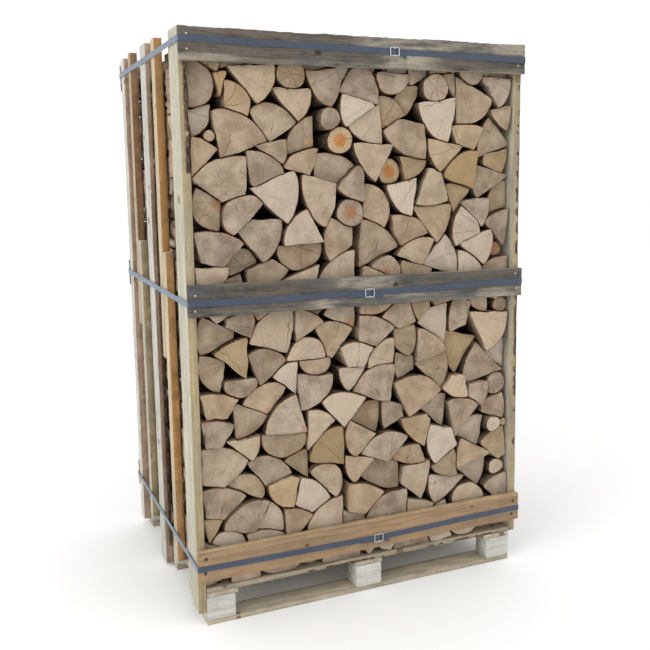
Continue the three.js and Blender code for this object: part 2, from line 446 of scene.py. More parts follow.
def stackLogs(rng, width, height, landmarks=()):
    # logs go where they leave the least empty space under them and beside them
    step, turns = firewood["step"], stacking["turns"]
    columns, slotWide = int(width / step), int(firewood["slot"] / step)
    sky = np.zeros(columns)
    view = np.lib.stride_tricks.sliding_window_view
    placed, pool, misses = [], [], 0
    waiting = list(landmarks)

    def slots(skyline):
        return (closedSky(skyline, slotWide, height * 2) - skyline).clip(0, stacking["slotDeep"]).sum() * step

    def rank(waste, middle, area):
        return waste / stacking["waste"] + stacking["height"] * middle - stacking["area"] * area

    def price(z, low, high, i, area):
        waste = (z + low - sky[i:i + len(low)]).clip(0).sum() * step
        after = sky.copy()
        after[i:i + len(low)] = z + high
        side = slots(after) - slotsNow
        return rank(waste + stacking["slots"] * side, z + (low.min() + high.max()) / 2, area)

    def settle(log, angle, low, high, x0, i, z, tries):
        value = price(z, low, high, i, log["area"])
        for _ in range(tries):
            other = angle + rng.normal(0, 0.09)
            newX0, newLow, newHigh = profile(turned(log["points"], other), step)
            k = len(newLow)
            j = int(np.clip(i + rng.integers(-2, 3), 0, columns - k))
            newZ = (sky[j:j + k] - newLow).max()
            if newZ + newHigh.max() > height:
                continue
            newValue = price(newZ, newLow, newHigh, j, log["area"])
            if newValue < value:
                value, angle, x0, low, high, i, z = newValue, other, newX0, newLow, newHigh, j, newZ
        sky[i:i + len(low)] = z + high
        shift = np.array([i * step - x0 + step / 2, z])
        placed.append({**log, "points": turned(log["points"], angle) + shift,
                       "pith": turned(log["pith"][None], angle)[0] + shift})

    while True:
        slotsNow = slots(sky)
        for mark in list(waiting):
            middle = int(mark["across"] / step)
            if sky[middle - 8:middle + 8].max() > mark["up"] - mark["radius"] - 30:
                log = makeSection(rng, mark["kind"], mark["radius"])
                log["tone"] = mark["tone"]
                x0, low, high = profile(log["points"], step)
                best = min(range(middle - len(low) // 2 - 8, middle - len(low) // 2 + 9),
                           key=lambda i: (sky[i:i + len(low)] - low).max())
                settle(log, 0.0, low, high, x0, best, (sky[best:best + len(low)] - low).max(), 0)
                waiting.remove(mark)
        while len(pool) < stacking["poolSize"]:
            small = sum(log["kind"] in smallKinds for log in pool) < 2
            log = makeSection(rng, rng.choice(smallKinds)) if small else makeSection(rng)
            base = rng.uniform(0, 2 * np.pi)
            log["views"] = [(base + k * 2 * np.pi / turns,
                             *profile(turned(log["points"], base + k * 2 * np.pi / turns), step))
                            for k in range(turns)]
            pool.append(log)
        choices = []
        for index, log in enumerate(pool):
            for angle, x0, low, high in log["views"]:
                window = view(sky, len(low))
                z = (window - low).max(axis=1)
                waste = (z[:, None] + low - window).sum(axis=1) * step
                cost = (rank(waste, z + (low.min() + high.max()) / 2, log["area"])
                        + (z + high.max() > height) * stacking["tooHigh"]
                        + (log["kind"] in smallKinds) * stacking["small"])
                for i in np.argpartition(cost, 3)[:3]:
                    choices.append((cost[i], index, angle, x0, low, high, int(i), z[i]))
        choices.sort(key=lambda choice: choice[0])
        if choices[0][0] > stacking["tooHigh"] / 2:
            misses += 1
            if misses > 6:
                return placed
            pool = []
            continue
        misses = 0
        fair = [choice for choice in choices[:60] if choice[0] < stacking["tooHigh"] / 2]
        best = min(fair, key=lambda c: price(c[7], c[4], c[5], c[6], pool[c[1]]["area"]))
        log = pool.pop(best[1])
        log.pop("views")
        settle(log, best[2], best[4], best[5], best[3], best[6], best[7], stacking["tries"])


def crossed(a, b):
    return a[..., 0] * b[..., 1] - a[..., 1] * b[..., 0]


def wedgeSticks(logs, rng, width, height):
    # thin sticks close the widest holes along the side walls, as a stacker pushes them in last
    near, step = firewood["stickReach"], firewood["step"]
    for wall in (0.0, width):
        inward = 1 if wall == 0 else -1
        x, z = np.meshgrid(wall + inward * np.arange(6, near, step), np.arange(20, height - 60, step))
        spots = np.stack([x.ravel(), z.ravel()], axis=1)
        room = np.minimum(np.abs(spots[:, 0] - wall), near)
        for log in logs:
            points = log["points"]
            if np.abs(points[:, 0] - wall).min() > 2 * near:
                continue
            ahead = np.roll(points, -1, axis=0)
            inside = np.zeros(len(spots), bool)
            for a, b in zip(points, ahead):
                crosses = (a[1] > spots[:, 1]) != (b[1] > spots[:, 1])
                rise = b[1] - a[1] if abs(b[1] - a[1]) > 1e-6 else 1e-6
                inside ^= crosses & (spots[:, 0] < a[0] + (b[0] - a[0]) * (spots[:, 1] - a[1]) / rise)
            line = np.concatenate([points, (points + ahead) / 2])
            away = np.linalg.norm(spots[:, None] - line[None], axis=2).min(axis=1)
            room = np.where(inside, 0, np.minimum(room, away))
        while room.max() > firewood["stickRoom"]:
            best = int(room.argmax())
            radius = room[best] - 1.5
            turn = np.arange(0, 2 * np.pi, 0.45)
            lumpy = radius * (1 - 0.06 * np.abs(np.sin(turn * 1.5 + rng.uniform(0, 6))))
            outline = np.stack([np.cos(turn), np.sin(turn)], axis=1) * lumpy[:, None]
            logs.append({"points": outline + spots[best], "bark": np.ones(len(turn), bool),
                         "pith": spots[best], "tone": None})
            room = np.minimum(room, (np.linalg.norm(spots - spots[best], axis=1) - radius).clip(0))


def outwards(points):
    ahead = np.roll(points, -1, axis=0) - np.roll(points, 1, axis=0)
    normal = np.stack([ahead[:, 1], -ahead[:, 0]], axis=1)
    return normal / np.linalg.norm(normal, axis=1, keepdims=True).clip(1e-6)


def swellLogs(logs, width, height):
    # every outline point moves out, to half way across the gap in front of it
    boxes = np.array([[*log["points"].min(0), *log["points"].max(0)] for log in logs])
    grown = []
    for index, log in enumerate(logs):
        points, normal = log["points"], outwards(log["points"])
        lo, hi = boxes[index, :2] - 20, boxes[index, 2:] + 20
        near = [j for j in range(len(logs)) if j != index and (boxes[j, :2] < hi).all()
                and (boxes[j, 2:] > lo).all()]
        start = np.concatenate([logs[j]["points"] for j in near])
        end = np.concatenate([np.roll(logs[j]["points"], -1, axis=0) for j in near])
        along = (end - start)[None]
        away = start[None] - points[:, None]
        slope = crossed(normal[:, None], along)
        slope = np.where(np.abs(slope) < 1e-9, 1e-9, slope)
        t = crossed(away, along) / slope
        u = crossed(away, normal[:, None]) / slope
        reach = np.where((t > -1.0) & (u >= -0.02) & (u <= 1.02), t, 1e3).min(axis=1)
        log["faced"] = reach < firewood["facing"]
        for axis, side, limit in ((0, -1, 0), (0, 1, width), (1, -1, 0)):
            toWall = (limit - points[:, axis]) * side
            facing = np.maximum(normal[:, axis] * side, 1e-3)
            reach = np.minimum(reach, 2 * toWall / facing + firewood["gap"])
        ahead, behind = np.roll(points, -1, axis=0) - points, points - np.roll(points, 1, axis=0)
        turn = np.abs(np.arctan2(crossed(behind, ahead), (behind * ahead).sum(1)))
        sharp = 1 / np.cos(turn / 2).clip(0.45, 1)
        room = np.clip((reach - firewood["gap"]) / 2, -0.8, firewood["swell"] * sharp)
        soft = (np.roll(room / sharp, 1) + np.roll(room / sharp, -1) + room / sharp) / 3 * sharp
        grown.append(points + normal * np.minimum(room, soft)[:, None])
    for log, points in zip(logs, grown):
        log["points"] = points


def endGrain():
    s = Surface("sawnEnd", 0.86, 0.18)
    x, z, seed = s.parts(s.attribute("pithPlace", "Vector"))
    tone = s.channels(s.attribute("logTone", "Color"))  # tan, orange heart, cracks
    place = s.vector(x, z)
    radius = s.lengthOf(place)
    angle = s.calc("ARCTAN2", z, x)
    wander = s.grain(place, 28, 2, fourth=seed)
    # growth rings
    ringPlace = s.plus(radius, s.times(wander, 0.006))
    ring = s.calc("SINE", s.times(ringPlace, 1750.0))
    ring = s.times(ring, s.grain(place, 60, 2, fourth=seed))
    # fine rays from the pith
    ray = s.grain(s.vector(s.times(angle, 30.0), s.times(radius, 22.0), seed), 1.0, 3, 0.7)
    # marks of the saw, straight across
    lean = s.times(seed, 5.7)
    across = s.plus(s.times(x, s.calc("COSINE", lean)), s.times(z, s.calc("SINE", lean)))
    saw = s.grain(s.vector(s.times(across, 330.0), seed, s.times(wander, 1.5)), 1.0, 2, 0.7)
    # drying cracks
    crackTurn = s.plus(s.times(s.plus(angle, s.times(wander, 0.5)), 1.1), s.times(seed, 3.1))
    cell = s.add("ShaderNodeTexVoronoi", {"W": crackTurn, "Scale": 1.0}, voronoi_dimensions="1D",
                 feature="DISTANCE_TO_EDGE")
    crackWide = s.times(cell.outputs[0], s.plus(radius, 0.004))
    some = s.ramp(s.grain(place, 18, 1, fourth=s.plus(seed, 3.0)), 0.40, 0.56)
    crack = s.times(s.ramp(crackWide, 0.0002, 0.00125, (1.0, 0.0)), some)
    crack = s.times(crack, tone[2])
    # colours
    blotch = s.grain(place, 16, 3, 0.6, fourth=s.plus(seed, 7.0))
    fine = s.grain(place, 240, 3, 0.7, fourth=seed)
    colour = s.blend(s.ramp(blotch, 0.32, 0.68), linear(136, 119, 103), linear(174, 158, 140))
    colour = s.blend(tone[0], colour, linear(178, 150, 104))
    value = s.attribute("logValue")
    colour = s.blend(s.times(s.ramp(value, 0.98, 1.16), 0.7), colour, linear(175, 163, 149))
    heart = s.times(s.ramp(ringPlace, 0.022, 0.034, (1.0, 0.0)), tone[1])
    colour = s.blend(s.times(heart, 0.85), colour, linear(176, 112, 56))
    shade = s.plus(0.985, s.times(ring, 0.085))
    for texture, strength in ((ray, 0.42), (saw, 0.50), (fine, 0.30)):
        shade = s.stirred(shade, texture, strength)
    colour = s.shaded(colour, s.times(shade, value))
    colour = s.blend(s.times(crack, 0.88), colour, linear(62, 44, 30))
    pin = s.cells(s.shifted(place, s.attribute("pithPlace", "Vector")), 26.0)
    rare = s.ramp(s.channels(pin["Color"])[0], 0.80, 0.84)
    pinKnot = s.times(s.ramp(pin["Distance"], 0.05, 0.11, (1.0, 0.0)), rare)
    colour = s.blend(s.times(pinKnot, 0.8), colour, linear(84, 58, 40))
    # bark round the edge, with its orange inner layer
    worn = s.stirred(s.attribute("rim"), s.grain(place, 150, 2, fourth=seed), 0.7)
    colour = s.blend(s.ramp(worn, 0.22, 0.40), colour, linear(140, 92, 54))
    colour = s.blend(s.ramp(worn, 0.55, 0.72), colour, linear(78, 56, 40))
    height = s.plus(s.times(saw, 0.5), s.times(fine, 0.4))
    return s.coat(colour, s.minus(height, s.times(crack, 2.0)), 0.0016, 0.8)


def splitFace():
    s = Surface("splitFace", 0.88, 0.16)
    place = s.objectPlace()
    seed = s.parts(s.attribute("pithPlace", "Vector"))[2]
    tan = s.channels(s.attribute("logTone", "Color"))[0]
    fibre = s.stretched(place, (210, 6, 210), 5, 0.7, fourth=seed)
    band = s.stretched(place, (34, 3.5, 34), 4, 0.65, fourth=seed)
    stain = s.stretched(place, (9, 4, 9), 4, 0.6, fourth=seed)
    tear = s.stretched(place, (120, 14, 120), 2, 0.5, fourth=seed)
    colour = s.blend(s.ramp(band, 0.35, 0.65), linear(150, 126, 106), linear(190, 170, 148))
    colour = s.blend(s.times(tan, 0.6), colour, linear(190, 154, 108))
    colour = s.blend(s.ramp(stain, 0.48, 0.70), colour, linear(112, 94, 80))
    shade = s.times(s.plus(0.55, s.times(fibre, 0.9)), s.attribute("logValue"))
    shade = s.minus(shade, s.times(s.ramp(tear, 0.60, 0.68), 0.35))
    colour = s.shaded(colour, shade)
    # painted shade: split faces turn near black where another log faces them closely and deeper along the
    # log, standing in for the shade between the logs of the pile
    paintedShade = s.times(s.attribute("shelter"), 0.88)
    colour = s.blend(paintedShade, colour, linear(26, 19, 15))
    return s.coat(colour, s.plus(fibre, s.times(band, 1.5)), 0.004, 0.9)


def barkFace():
    s = Surface("bark", 0.92, 0.12)
    place = s.objectPlace()
    seed = s.parts(s.attribute("pithPlace", "Vector"))[2]
    crooked = s.add("ShaderNodeTexNoise", {"Vector": place, "Scale": 40.0, "Detail": 3.0}).outputs["Color"]
    bent = s.shifted(s.scaled(place, (58, 19, 58)), s.scaled(crooked, (1.3, 1.3, 1.3)))
    furrow = s.ramp(s.cells(bent, 1.0, feature="DISTANCE_TO_EDGE")[0], 0.0, 0.20)
    rough = s.stretched(place, (130, 70, 130), 5, 0.75, fourth=seed)
    patch = s.grain(place, 14, 3, fourth=seed)
    smooth = s.ramp(s.grain(place, 7, 2, fourth=seed), 0.42, 0.62)
    furrow = s.plus(s.times(furrow, s.minus(1.0, smooth)), smooth)
    colour = s.blend(s.ramp(patch, 0.38, 0.62), linear(88, 70, 56), linear(128, 112, 95))
    colour = s.blend(s.times(s.minus(1.0, furrow), 0.75), colour, linear(52, 38, 29))
    colour = s.blend(s.ramp(rough, 0.46, 0.76), colour, linear(140, 128, 110))
    # painted shade: bark turns near black where another log faces it closely and deeper along the log,
    # standing in for the shade between the logs of the pile
    paintedShade = s.times(s.attribute("shelter"), 0.88)
    colour = s.blend(paintedShade, colour, linear(22, 17, 14))
    return s.coat(colour, s.plus(s.times(furrow, 0.8), s.times(rough, 1.3)), 0.005, 0.8)


logSurfaces = [endGrain(), splitFace(), barkFace()]


def buildLogRow(row, logs, rng, low, high):
    # outlines become faces, and the faces are drawn out into logs
    bm = bmesh.new()
    pithLayer, toneLayer = layer(bm, "float_vector", "pithPlace"), layer(bm, "float_color", "logTone")
    valueLayer, rimLayer = layer(bm, "float", "logValue"), layer(bm, "float", "rim")
    barkLayer, numberLayer = layer(bm, "float", "barkSide"), layer(bm, "float", "logNumber")
    shelterLayer = layer(bm, "float", "shelter")
    for number, log in enumerate(logs):
        seed = rng.uniform(0, 10)
        tan = float(rng.beta(1.2, 4.5))
        value = float(np.clip(rng.normal(0.98, 0.12), 0.66, 1.2))
        heart = float(rng.random() < 0.10) * rng.uniform(0.25, 0.7)
        if log["tone"] == "orange":
            tan, value, heart = 0.75, 1.05, 1.0
        if log["tone"] == "grey":
            tan, value, heart = 0.0, 0.86, 0.0
        cracks = float(rng.uniform(0.2, 1.0))
        ring = []
        bark = log["bark"] | np.roll(log["bark"], 1)
        for point, flag, faced in zip(log["points"], bark, log["faced"]):
            vert = bm.verts.new((low.x + point[0] * mm, low.y, low.z + point[1] * mm))
            vert[pithLayer] = ((point[0] - log["pith"][0]) * mm, (point[1] - log["pith"][1]) * mm, seed)
            vert[toneLayer] = (tan, heart, cracks, 1)
            vert[valueLayer], vert[barkLayer], vert[numberLayer] = value, float(flag), number
            # sides that face a near neighbour get painted shade
            vert[shelterLayer] = float(faced)
            ring.append(vert)
        bm.faces.new(ring)
    fronts = list(bm.faces)
    drawn = bmesh.ops.extrude_face_region(bm, geom=fronts)["geom"]
    backVerts = [v for v in drawn if isinstance(v, bmesh.types.BMVert)]
    bmesh.ops.translate(bm, verts=backVerts, vec=(0, high.y - low.y, 0))
    bmesh.ops.recalc_face_normals(bm, faces=bm.faces)
    ends = [f for f in bm.faces if len(f.verts) > 4 or abs(f.normal.y) > 0.9]
    longEdges = [e for e in bm.edges if abs(e.verts[0].co.y - e.verts[1].co.y) > 0.05]
    bmesh.ops.subdivide_edges(bm, edges=longEdges, cuts=firewood["cutsAlong"], use_grid_fill=True)
    bmesh.ops.inset_individual(bm, faces=ends, thickness=firewood["barkThick"] * mm, depth=0.0,
                               use_even_offset=True)
    inner = {v for f in ends for v in f.verts}
    for vert in bm.verts:
        vert[rimLayer] = 0.0 if vert in inner else vert[barkLayer]
    for face in bm.faces:
        if abs(face.normal.y) > 0.9:
            face.material_index = 0
        else:
            face.material_index = 2 if sum(v[barkLayer] for v in face.verts) > 2.5 else 1

    # each log gets its own ends, a slight taper and rough sides
    co = np.array([v.co for v in bm.verts])
    number = np.array([v[numberLayer] for v in bm.verts]).round().astype(int)
    bark = np.array([v[barkLayer] for v in bm.verts])
    insideEnd = np.array([v in inner for v in bm.verts])
    bm.normal_update()
    normal = np.array([v.normal for v in bm.verts])
    length = high.y - low.y
    t = (co[:, 1] - low.y) / length
    centres = np.array([log["points"].mean(0) for log in logs]) * mm + (low.x, low.z)
    off = co[:, [0, 2]] - centres[number]
    logsCount = len(logs)
    front = np.abs(rng.normal(0, logEnds["frontSpread"], logsCount)) - logEnds["frontOut"]
    setBack = rng.random(logsCount) < logEnds["setBack"]
    front = np.where(setBack, front + rng.uniform(*logEnds["setBackBy"], logsCount), front)
    back = np.abs(rng.normal(0, logEnds["backSpread"], logsCount))
    leanFront = rng.normal(0, logEnds["frontLean"], (logsCount, 2))
    leanBack = rng.normal(0, logEnds["backLean"], (logsCount, 2))
    yFront = front[number] + np.abs((off * leanFront[number]).sum(1))
    yBack = length - back[number] - np.abs((off * leanBack[number]).sum(1))
    y = yFront + (yBack - yFront) * t
    taper = rng.uniform(*logEnds["taper"], logsCount)
    shrink = 1 + np.minimum(taper[number] * (t - 0.1), 0.0)
    wobble = noiseAt(co[:, 0] * 26 + number * 3.1, co[:, 1] * 9, co[:, 2] * 26)
    inLength = np.minimum(t, 1 - t)
    roughSide = np.where(bark > 0.5, logEnds["barkRough"], logEnds["splitRough"]) * wobble
    side = normal[:, [0, 2]] * (roughSide * np.clip(inLength * 12, 0.0, 1))[:, None]
    place = centres[number] + off * shrink[:, None] + side
    onEdge = ((t < 0.001) | (t > 0.999)) & ~insideEnd
    nick = noiseAt(co[:, 0] * 90, number * 5.3, co[:, 2] * 90)
    y = y + np.where(onEdge, np.where(t < 0.5, 1, -1) * (0.0007 + 0.0012 * np.clip(nick, 0, 1)), 0)
    # the painted shade between logs grows from a fifth at the log ends to full at shelterDepth in from them
    deepIn = np.clip(0.2 + inLength * length / logEnds["shelterDepth"], 0, 1)
    for vert, p, yy, deepness in zip(bm.verts, place, y, deepIn):
        vert.co = (p[0], low.y + yy, p[1])
        vert[shelterLayer] *= deepness
    finishPiece(bm, f"firewood_{row}_row", [f"log_row_{row}"], logSurfaces, 34)
    report(f"{row} row: {logsCount} logs, {len(co)} points")


def makeFirewood():
    for row, seed in firewood["seeds"].items():
        rng = np.random.default_rng(seed)
        low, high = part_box(f"log_row_{row}")
        width, height = (high.x - low.x) / mm, (high.z - low.z) / mm
        if row == "middle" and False:
            logs = stackLogs(rng, width, 500)
        else:
            logs = stackLogs(rng, width, height, landmarkLogs if row == "front" else ())
        wedgeSticks(logs, rng, width, height)
        swellLogs(logs, width, height)
        area = sum(areaAndCentre(log["points"])[0] for log in logs)
        print(f"{row} row is {100 * area / width / height:.1f}% wood")
        buildLogRow(row, logs, rng, low, high)


makeFirewood()
report("firewood")


woodLooks = {
    # early wood, late wood, weathered wood and narrow edges; how grey, how many knots, how strong the rings
    "palletBoard": {"early": (158, 149, 132), "late": (130, 116, 96), "weathered": (128, 121, 110),
                    "edge": (140, 130, 112), "grey": 0.65, "knots": 0.5, "rings": 0.55},
    "palletBlock": {"early": (196, 195, 188), "late": (182, 176, 160), "weathered": (172, 170, 164),
                    "edge": (196, 195, 188), "grey": 0.30, "knots": 0.2, "rings": 0.4},
    "paleBatten": {"early": (187, 183, 169), "late": (163, 149, 119), "weathered": (146, 141, 132),
                   "edge": (162, 147, 115), "grey": 0.35, "knots": 0.7, "rings": 0.6},
    "orangeBatten": {"early": (188, 176, 152), "late": (166, 140, 104), "weathered": (146, 134, 118),
                     "edge": (172, 131, 82), "grey": 0.25, "knots": 0.6, "rings": 0.6},
    "brownBatten": {"early": (176, 158, 136), "late": (150, 128, 102), "weathered": (116, 108, 98),
                    "edge": (130, 101, 74), "grey": 0.40, "knots": 0.6, "rings": 0.5},
    "greyBatten": {"early": (184, 182, 175), "late": (158, 148, 132), "weathered": (140, 136, 130),
                   "edge": (152, 131, 113), "grey": 0.50, "knots": 0.7, "rings": 0.45},
    "weatheredBoard": {"early": (98, 91, 83), "late": (66, 59, 53), "weathered": (78, 78, 78),
                       "edge": (140, 133, 118), "grey": 0.85, "knots": 0.35, "rings": 0.45,
                       "band": (122, 115, 102), "pale": (150, 142, 127)},
    "freshBoard": {"early": (156, 131, 103), "late": (130, 97, 66), "weathered": (124, 110, 94),
                   "edge": (178, 154, 120), "grey": 0.30, "knots": 0.85, "rings": 0.5},
}


def sawnWood(name, look):
    s = Surface(name, 0.84, 0.2)
    grainPlace = s.attribute("grainPlace", "Vector")
    u, v, w = s.parts(grainPlace)
    tone = s.channels(s.attribute("pieceTone", "Color"))  # value, greyness, paleness
    edgeShare, bark = s.attribute("edgeShare"), s.attribute("barkSide")
    radius = s.lengthOf(s.vector(v, w))
    angle = s.calc("ARCTAN2", w, v)
    # knots run out from the pith
    knot = s.cells(s.vector(s.times(u, 6.0), s.times(angle, 0.45)), 1.0, voronoi_dimensions="2D")
    knotSize = s.ramp(s.channels(knot["Color"])[0], 1.0 - look["knots"] * 0.75, 1.0, (0.0, 0.085))
    knotNear = s.minus(knot["Distance"], knotSize)
    # rings, drawn aside by the knots
    wander = s.stretched(grainPlace, (2.2, 9, 9), 2)
    pull = s.ramp(knotNear, 0.0, 0.16, (0.010, 0.0))
    ringPlace = s.plus(s.plus(radius, pull), s.times(wander, 0.016))
    ring = s.calc("FRACT", s.times(ringPlace, 250.0))
    late = s.times(s.ramp(ring, 0.35, 0.85), s.ramp(ring, 1.0, 0.9))
    fibre = s.stretched(grainPlace, (9, 520, 520), 3, 0.7)
    streak = s.stretched(grainPlace, (1.4, 55, 55), 3, 0.6)
    saw = s.stretched(grainPlace, (330, 12, 12), 2, 0.6)
    patch = s.stretched(grainPlace, (3.0, 13, 13), 4, 0.65)
    face = s.blend(s.times(late, look["rings"]), linear(*look["early"]), linear(*look["late"]))
    edge = s.blend(s.times(late, look["rings"] * 0.6), linear(*look["edge"]),
                   tuple(c * 0.72 for c in linear(*look["edge"])))
    if "band" in look:  # cleaner wood along the lower edge
        low = s.stirred(edgeShare, wander, 0.5)
        face = s.blend(s.times(s.ramp(low, -0.62, -0.78), 0.75), face, linear(*look["band"]))
    if "pale" in look:  # stretches of a board that stay lighter
        lit = s.stirred(tone[2], s.stretched(grainPlace, (7, 24, 24), 4, 0.7), 1.3)
        face = s.blend(s.times(s.ramp(lit, 0.20, 0.75), 0.92), face, linear(*look["pale"]))
        stain = s.stretched(grainPlace, (6.5, 46, 46), 5, 0.75)
        face = s.blend(s.times(s.ramp(stain, 0.52, 0.66), 0.6), face, linear(44, 40, 37))
    narrow = s.ramp(s.calc("ABSOLUTE", edgeShare), 0.955, 0.985)
    colour = s.blend(narrow, face, edge)
    grey = s.times(s.ramp(s.plus(patch, tone[1]), 0.46, 0.70), look["grey"])
    colour = s.blend(grey, colour, linear(*look["weathered"]))
    cloud = s.stretched(grainPlace, (11, 34, 34), 4, 0.7)
    check = s.stretched(grainPlace, (5, 160, 160), 2, 0.5)
    split = s.times(s.ramp(check, 0.66, 0.72), s.ramp(patch, 0.40, 0.55))
    shade = s.minus(1.0, s.times(split, 0.6 * look["grey"]))
    stirrings = ((fibre, 0.45, 0.5), (cloud, 0.45, 1.1), (streak, 0.45, 0.7), (saw, 0.24, 0.0))
    for texture, strength, more in stirrings:  # weathered wood has more contrast
        shade = s.stirred(shade, texture, strength + more * look["grey"])
    colour = s.shaded(colour, s.times(shade, tone[0]))
    chip = s.stretched(grainPlace, (38, 150, 150), 1, 0.5)
    chip = s.times(s.ramp(chip, 0.70, 0.76), look["grey"])
    early, dark = linear(*look["early"]), linear(*look["late"])
    colour = s.blend(s.times(chip, 0.7), colour, tuple(min(c * 1.9, 0.8) for c in early))
    core = s.ramp(knotNear, -0.004, 0.008, (1.0, 0.0))
    colour = s.blend(s.times(core, 0.8), colour, tuple(c * k for c, k in zip(dark, (0.62, 0.46, 0.36))))
    rim = s.ramp(s.calc("ABSOLUTE", knotNear), 0.0, 0.012, (1.0, 0.0))
    ringed = s.times(rim, s.ramp(knotSize, 0.002, 0.02))
    colour = s.blend(s.times(ringed, 0.6), colour, tuple(c * 0.25 for c in dark))
    crumb = s.stretched(grainPlace, (70, 210, 210), 4, 0.7)
    barkColour = s.blend(s.ramp(crumb, 0.40, 0.62), linear(40, 29, 24), linear(118, 98, 82))
    colour = s.blend(s.ramp(s.stirred(bark, crumb, 0.8), 0.40, 0.60), colour, barkColour)
    height = s.plus(s.times(fibre, 0.8), s.times(saw, 0.7))
    return s.coat(colour, s.plus(height, s.times(streak, 0.6)), 0.0016, 0.75)


woods = {name: sawnWood(name, look) for name, look in woodLooks.items()}
plank = {"ease": 1.5, "stepAlong": 13.0, "stepAcross": 15.0, "rough": 0.35, "wave": 0.7,
         "leanedLength": 1260.6}      # a leaned board's own length, mm
woodDraws = np.random.default_rng(31)


def sawnPiece(node, finish, along, out, value=1.0, grey=0.0, lean=0.0, wanes=(), foot=0.0, pithOut=None,
              ragged=0.0, pale=()):
    # a board in its own lengths: u along the grain, v across it, w out of its outer face
    rng = np.random.default_rng(woodDraws.integers(1 << 30))
    low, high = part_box(node)
    outAxis, outSign = out
    acrossAxis = 3 - along - outAxis
    size, middle = (high - low) / mm, (high + low) / 2
    length, wide, thick = size[along], size[acrossAxis], size[outAxis]
    if lean:
        slope = math.radians(abs(lean))
        length = plank["leanedLength"]
        wide = (wide - length * math.sin(slope)) / math.cos(slope)
    bm = bmesh.new()
    bmesh.ops.create_cube(bm, size=1)
    bmesh.ops.scale(bm, verts=bm.verts, vec=(length, wide, thick))
    for axis, step in ((0, plank["stepAlong"]), (1, plank["stepAcross"])):
        edges = [e for e in bm.edges if abs(e.verts[0].co[axis] - e.verts[1].co[axis]) > 1]
        cuts = max(1, int(size[along if axis == 0 else acrossAxis] / step))
        bmesh.ops.subdivide_edges(bm, edges=edges, cuts=cuts, use_grid_fill=True)
    corners = [e for e in bm.edges if e.calc_face_angle(0) > 1]
    bmesh.ops.bevel(bm, geom=corners, offset=plank["ease"], offset_type="OFFSET", segments=2, profile=0.5,
                    affect="EDGES", material=-1, clamp_overlap=True)
    bm.normal_update()
    co = np.array([vert.co for vert in bm.verts])
    normal = np.array([vert.normal for vert in bm.verts])
    u, v, w = co.T
    uShift = rng.uniform(0, 40)
    pithV = rng.normal(0, 0.25 * wide)
    pithW = rng.uniform(25, 70) * rng.choice([-1, 1]) if pithOut is None else pithOut
    grainPlace = np.stack([u * mm + uShift, (v - pithV) * mm, (w - pithW) * mm], axis=1)
    edgeShare = v / (wide / 2)
    bark = np.zeros(len(co))
    for wane in wanes:
        side, face, deep = wane["side"], wane["face"], wane["deep"]
        at = (u / length + 0.5 - wane.get("start", 0)) / (wane.get("end", 1) - wane.get("start", 0))
        within = np.clip(np.minimum(at, 1 - at) * 14, 0, 1)
        swing = (noiseAt(u * 0.004 + uShift, side * 3.3, 1.7) * 0.8
                 + noiseAt(u * 0.016 + uShift, 9.1, side) * 0.35
                 + noiseAt(u * 0.06 + uShift, 4.4, side) * 0.4)
        depth = deep * np.clip(wane.get("level", 0.45) + swing, 0, 1.2) * within
        reach = np.clip((v * side - (wide / 2 - 2.0 * deep)) / (2.0 * deep), 0, 1)
        share = 0.15 + 0.85 * (0.5 + 0.5 * w * face / (thick / 2))
        v = v - side * depth * reach * share
        if wane.get("bark", True):
            bark = np.maximum(bark, (reach > 0.93) * np.clip(depth / (0.3 * deep), 0, 1) * (share > 0.45))
    if foot:
        # a corner split off the lower back of the post, with a torn face
        cut = np.clip(foot - (u + length / 2) + 3 * noiseAt(0.0, v * 0.1, w * 0.2), 0, foot) * 2
        v = np.where(v > wide / 2 - cut, wide / 2 - cut, v)
    coarse = noiseAt(u * 0.012 + uShift, v * 0.03, w * 0.05)
    small = noiseAt(u * 0.09 + uShift, v * 0.22, w * 0.3)
    push = coarse * plank["wave"] + small * plank["rough"] - plank["rough"]
    onEdge = (np.abs(normal) > 0.3).sum(1) > 1
    push = push - onEdge * np.abs(small) * 1.2
    place = np.stack([u, v, w], axis=1) + normal * push[:, None]
    if ragged:
        end = np.abs(u) > length / 2 - 3
        place[:, 0] -= end * np.sign(u) * ragged * (0.5 + noiseAt(v * 0.05, uShift, w * 0.3))
    axes = Matrix.Identity(3)
    for column, (axis, sign) in enumerate(((along, 1), (acrossAxis, 1), (outAxis, outSign))):
        for row in range(3):
            axes[row][column] = sign if row == axis else 0.0
    turn = Matrix.Rotation(math.radians(lean), 3, "Y") @ axes if lean else axes
    grainLayer, toneLayer = layer(bm, "float_vector", "grainPlace"), layer(bm, "float_color", "pieceTone")
    shareLayer, barkLayer = layer(bm, "float", "edgeShare"), layer(bm, "float", "barkSide")
    tone = (value * rng.uniform(0.96, 1.04), grey + rng.uniform(-0.03, 0.03))
    paleness = np.zeros(len(co))
    for start, end, floorShare, ceilingShare in pale:
        inLength = np.clip(np.minimum(u / length + 0.5 - start, end - (u / length + 0.5)) * 9, 0, 1)
        inWidth = np.clip(np.minimum(edgeShare - floorShare, ceilingShare - edgeShare) * 3, 0, 1)
        paleness = np.maximum(paleness, inLength * inWidth)
    for i, vert in enumerate(bm.verts):
        vert[grainLayer], vert[toneLayer] = grainPlace[i], (*tone, paleness[i], 1)
        vert[shareLayer], vert[barkLayer] = edgeShare[i], bark[i]
        vert.co = middle + turn @ (Vector(place[i]) * mm)
    finishPiece(bm, f"{node}_wood", [node], [woods[finish]], 40)


